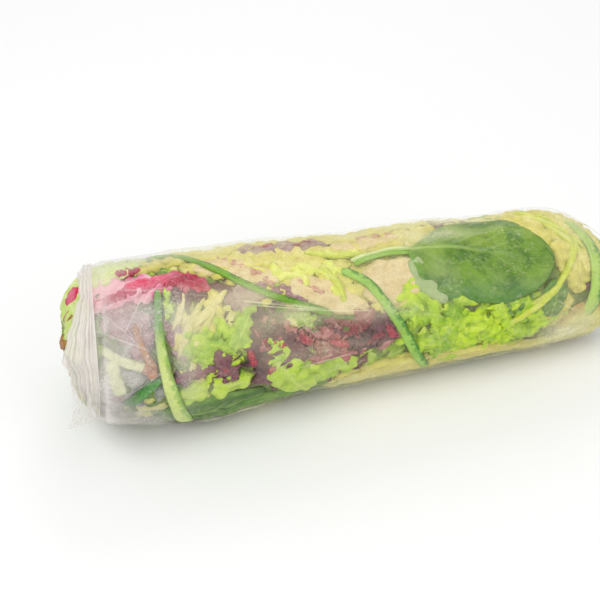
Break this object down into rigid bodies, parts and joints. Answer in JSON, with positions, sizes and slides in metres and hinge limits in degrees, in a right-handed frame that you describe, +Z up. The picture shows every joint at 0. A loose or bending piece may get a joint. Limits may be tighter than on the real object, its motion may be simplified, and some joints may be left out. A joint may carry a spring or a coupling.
{
  "type": "rice paper roll",
  "caption": "Fresh salad roll: mixed leaves and green strips rolled in translucent rice paper, with loose pleated paper at one end, lying on its side.",
  "frame": {"origin": "middle of the roll's box, on the surface that it lies on", "axes": "+X along the roll from its thicker, pleated end to its thinner end, +Y towards the back, +Z up"},
  "size_m": [0.1774, 0.0532, 0.0524],
  "materials": {
    "rice_paper": "moist translucent rice paper, milky where it stands off the leaves",
    "salad_mix": "mixed frilly lettuce leaves, lime to deep green with plum-red ones",
    "spinach": "smooth dark green leaf with pale veins",
    "radicchio": "magenta-red leaf with pale ribs",
    "green_strip": "green rind strip with a paler inner side",
    "green_stub": "dark green stub of a stalk",
    "end_lettuce": "bright green lettuce with a brown cut stem",
    "browned_leaf": "yellow-green leaf with a red-brown edge"
  },
  "bodies": {
    "root": {"rice_paper": "rice_paper", "salad_filling": "salad_mix", "spinach_leaf": "spinach", "radicchio_leaf": "radicchio", "green_strip_long": "green_strip", "green_strip_bent": "green_strip", "green_strip_left": "green_strip", "green_strip_end": "green_strip", "green_stub": "green_stub", "lettuce_leaf_left": "end_lettuce", "brown_edged_leaf_right": "browned_leaf"}
  },
  "joints": []
}
